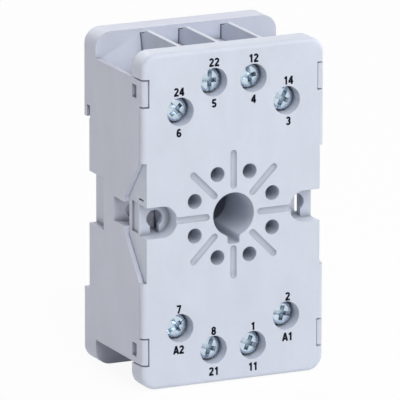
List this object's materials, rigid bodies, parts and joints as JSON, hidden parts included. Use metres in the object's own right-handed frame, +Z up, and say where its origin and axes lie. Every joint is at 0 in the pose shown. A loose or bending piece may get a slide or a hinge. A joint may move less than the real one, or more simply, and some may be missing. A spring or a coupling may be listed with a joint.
{
  "type": "relay socket",
  "caption": "Light grey relay socket with a ring of pin holes round a key hole, screw terminals at both ends, side pockets for panel screws, and a rail seat with a sliding latch.",
  "frame": {"origin": "middle of the plane that seats on the front of the rail, on the socket's centre line", "axes": "+X to the right seen from the front, +Y to the rear, towards the rail, +Z up"},
  "size_m": [0.0378, 0.026, 0.065],
  "materials": {
    "housing": "light grey moulded thermoplastic, fine satin grain",
    "latch": "mid grey moulded thermoplastic, satin",
    "spring": "bright drawn spring wire",
    "contact": "stamped brass strip",
    "clamp": "zinc-plated steel, bluish passivated",
    "screw": "zinc-plated steel, bluish passivated, bright"
  },
  "bodies": {
    "housing": {"base": "housing", "front_block": "housing", "latch_spring": "spring", "contact_1": "contact", "contact_2": "contact", "contact_3": "contact", "contact_4": "contact", "contact_5": "contact", "contact_6": "contact", "contact_7": "contact", "contact_8": "contact"},
    "latch": {"rail_latch": "latch"},
    "clamp_1": {"clamp_1": "clamp"},
    "screw_1": {"screw_1": "screw"},
    "clamp_2": {"clamp_2": "clamp"},
    "screw_2": {"screw_2": "screw"},
    "clamp_3": {"clamp_3": "clamp"},
    "screw_3": {"screw_3": "screw"},
    "clamp_4": {"clamp_4": "clamp"},
    "screw_4": {"screw_4": "screw"},
    "clamp_5": {"clamp_5": "clamp"},
    "screw_5": {"screw_5": "screw"},
    "clamp_6": {"clamp_6": "clamp"},
    "screw_6": {"screw_6": "screw"},
    "clamp_7": {"clamp_7": "clamp"},
    "screw_7": {"screw_7": "screw"},
    "clamp_8": {"clamp_8": "clamp"},
    "screw_8": {"screw_8": "screw"}
  },
  "joints": [
    {"name": "latch_slide", "type": "slide", "parent": "housing", "child": "latch", "axis": [0, 0, -1], "range_m": [0, 0.003], "stiffness_N_per_m": 500, "springref_m": -0.001, "deforming": ["latch_spring"]},
    {"name": "clamp_1_slide", "type": "slide", "parent": "housing", "child": "clamp_1", "axis": [0, 1, 0], "range_m": [0, 0.00273]},
    {"name": "screw_1_turn", "type": "hinge", "parent": "clamp_1", "child": "screw_1", "pos_m": [0.0041, -0.0188, -0.02595], "axis": [0, 1, 0], "range_deg": [0, 1966]},
    {"name": "clamp_2_slide", "type": "slide", "parent": "housing", "child": "clamp_2", "axis": [0, 1, 0], "range_m": [0, 0.00273]},
    {"name": "screw_2_turn", "type": "hinge", "parent": "clamp_2", "child": "screw_2", "pos_m": [0.01105, -0.0188, -0.02095], "axis": [0, 1, 0], "range_deg": [0, 1966]},
    {"name": "clamp_3_slide", "type": "slide", "parent": "housing", "child": "clamp_3", "axis": [0, 1, 0], "range_m": [0, 0.00273]},
    {"name": "screw_3_turn", "type": "hinge", "parent": "clamp_3", "child": "screw_3", "pos_m": [0.01105, -0.0188, 0.02095], "axis": [0, 1, 0], "range_deg": [0, 1966]},
    {"name": "clamp_4_slide", "type": "slide", "parent": "housing", "child": "clamp_4", "axis": [0, 1, 0], "range_m": [0, 0.00273]},
    {"name": "screw_4_turn", "type": "hinge", "parent": "clamp_4", "child": "screw_4", "pos_m": [0.0041, -0.0188, 0.02595], "axis": [0, 1, 0], "range_deg": [0, 1966]},
    {"name": "clamp_5_slide", "type": "slide", "parent": "housing", "child": "clamp_5", "axis": [0, 1, 0], "range_m": [0, 0.00273]},
    {"name": "screw_5_turn", "type": "hinge", "parent": "clamp_5", "child": "screw_5", "pos_m": [-0.0041, -0.0188, 0.02595], "axis": [0, 1, 0], "range_deg": [0, 1966]},
    {"name": "clamp_6_slide", "type": "slide", "parent": "housing", "child": "clamp_6", "axis": [0, 1, 0], "range_m": [0, 0.00273]},
    {"name": "screw_6_turn", "type": "hinge", "parent": "clamp_6", "child": "screw_6", "pos_m": [-0.01105, -0.0188, 0.02095], "axis": [0, 1, 0], "range_deg": [0, 1966]},
    {"name": "clamp_7_slide", "type": "slide", "parent": "housing", "child": "clamp_7", "axis": [0, 1, 0], "range_m": [0, 0.00273]},
    {"name": "screw_7_turn", "type": "hinge", "parent": "clamp_7", "child": "screw_7", "pos_m": [-0.01105, -0.0188, -0.02095], "axis": [0, 1, 0], "range_deg": [0, 1966]},
    {"name": "clamp_8_slide", "type": "slide", "parent": "housing", "child": "clamp_8", "axis": [0, 1, 0], "range_m": [0, 0.00273]},
    {"name": "screw_8_turn", "type": "hinge", "parent": "clamp_8", "child": "screw_8", "pos_m": [-0.0041, -0.0188, -0.02595], "axis": [0, 1, 0], "range_deg": [0, 1966]}
  ],
  "couplings": [
    {"joint": "screw_1_turn", "follows": "clamp_1_slide", "rad_per_m": 12566},
    {"joint": "screw_2_turn", "follows": "clamp_2_slide", "rad_per_m": 12566},
    {"joint": "screw_3_turn", "follows": "clamp_3_slide", "rad_per_m": 12566},
    {"joint": "screw_4_turn", "follows": "clamp_4_slide", "rad_per_m": 12566},
    {"joint": "screw_5_turn", "follows": "clamp_5_slide", "rad_per_m": 12566},
    {"joint": "screw_6_turn", "follows": "clamp_6_slide", "rad_per_m": 12566},
    {"joint": "screw_7_turn", "follows": "clamp_7_slide", "rad_per_m": 12566},
    {"joint": "screw_8_turn", "follows": "clamp_8_slide", "rad_per_m": 12566}
  ]
}
